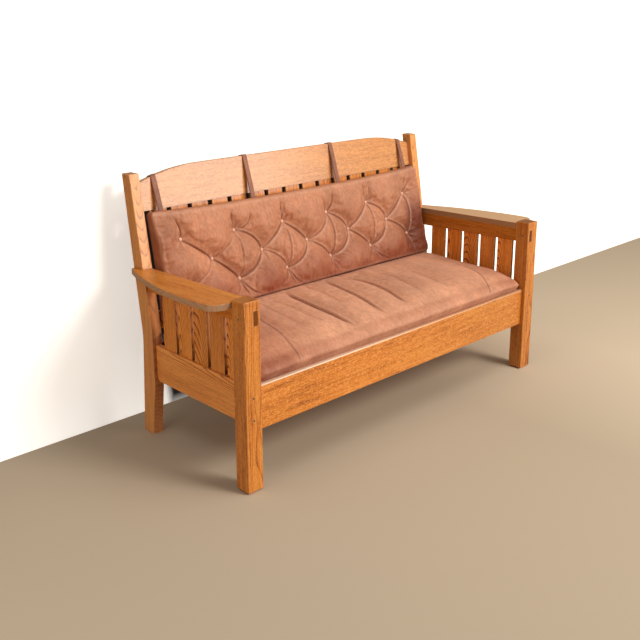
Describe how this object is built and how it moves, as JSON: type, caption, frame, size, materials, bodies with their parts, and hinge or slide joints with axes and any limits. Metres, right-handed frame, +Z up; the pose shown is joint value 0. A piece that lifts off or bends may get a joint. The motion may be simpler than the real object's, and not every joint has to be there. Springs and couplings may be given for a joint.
{
  "type": "settle",
  "caption": "Mission style oak settle with slatted sides and back, bowed flat arms, a shaped crest rail, a loose leather seat cushion and a tufted leather back cushion hung from straps.",
  "frame": {"origin": "on the floor under the middle of the whole settle", "axes": "X across the seat, Y from the front at -Y to the back at +Y, Z up"},
  "size_m": [1.7178, 0.686, 0.9591],
  "materials": {
    "oak": "satin varnish over quartersawn oak",
    "deck_wood": "bare planed wood",
    "peg_wood": "dark end grain, varnished",
    "steel": "plain",
    "seat_leather": "worn satin, wrinkled",
    "back_leather": "worn satin, tufted",
    "button_leather": "satin, covered buttons",
    "strap_leather": "satin",
    "brass": "dull"
  },
  "bodies": {
    "frame": {"front_post_left": "oak", "front_post_right": "oak", "rear_post_left": "oak", "rear_post_right": "oak", "front_seat_rail": "oak", "rear_seat_rail": "oak", "side_rail_left": "oak", "side_rail_right": "oak", "arm_rail_left": "oak", "arm_rail_right": "oak", "arm_left": "oak", "arm_right": "oak", "side_slat_left_1": "oak", "side_slat_left_2": "oak", "side_slat_left_3": "oak", "side_slat_left_4": "oak", "side_slat_left_5": "oak", "side_slat_right_1": "oak", "side_slat_right_2": "oak", "side_slat_right_3": "oak", "side_slat_right_4": "oak", "side_slat_right_5": "oak", "crest_rail": "oak", "lower_back_rail": "oak", "back_slat_01": "oak", "back_slat_02": "oak", "back_slat_03": "oak", "back_slat_04": "oak", "back_slat_05": "oak", "back_slat_06": "oak", "back_slat_07": "oak", "back_slat_08": "oak", "back_slat_09": "oak", "back_slat_10": "oak", "back_slat_11": "oak", "back_slat_12": "oak", "back_slat_13": "oak", "back_slat_14": "oak", "back_slat_15": "oak", "front_cleat": "deck_wood", "rear_cleat": "deck_wood", "seat_slat_01": "deck_wood", "seat_slat_02": "deck_wood", "seat_slat_03": "deck_wood", "seat_slat_04": "deck_wood", "seat_slat_05": "deck_wood", "seat_slat_06": "deck_wood", "seat_slat_07": "deck_wood", "seat_slat_08": "deck_wood", "seat_slat_09": "deck_wood", "seat_slat_10": "deck_wood", "pegs": "peg_wood", "cleat_screws": "steel", "strap_loops": "strap_leather", "strap_studs": "brass"},
    "back_cushion_body": {"back_cushion": "back_leather", "cushion_buttons": "button_leather", "strap_hangers": "strap_leather"},
    "seat_cushion_body": {"seat_cushion": "seat_leather"}
  },
  "joints": [
    {"name": "back_cushion_swing", "type": "hinge", "parent": "frame", "child": "back_cushion_body", "pos_m": [0, 0.31664, 0.95537], "axis": [-1, 0, 0], "range_deg": [0, 50]},
    {"name": "seat_cushion_slide", "type": "slide", "parent": "frame", "child": "seat_cushion_body", "axis": [0, -1, 0], "range_m": [0, 0.25]}
  ]
}
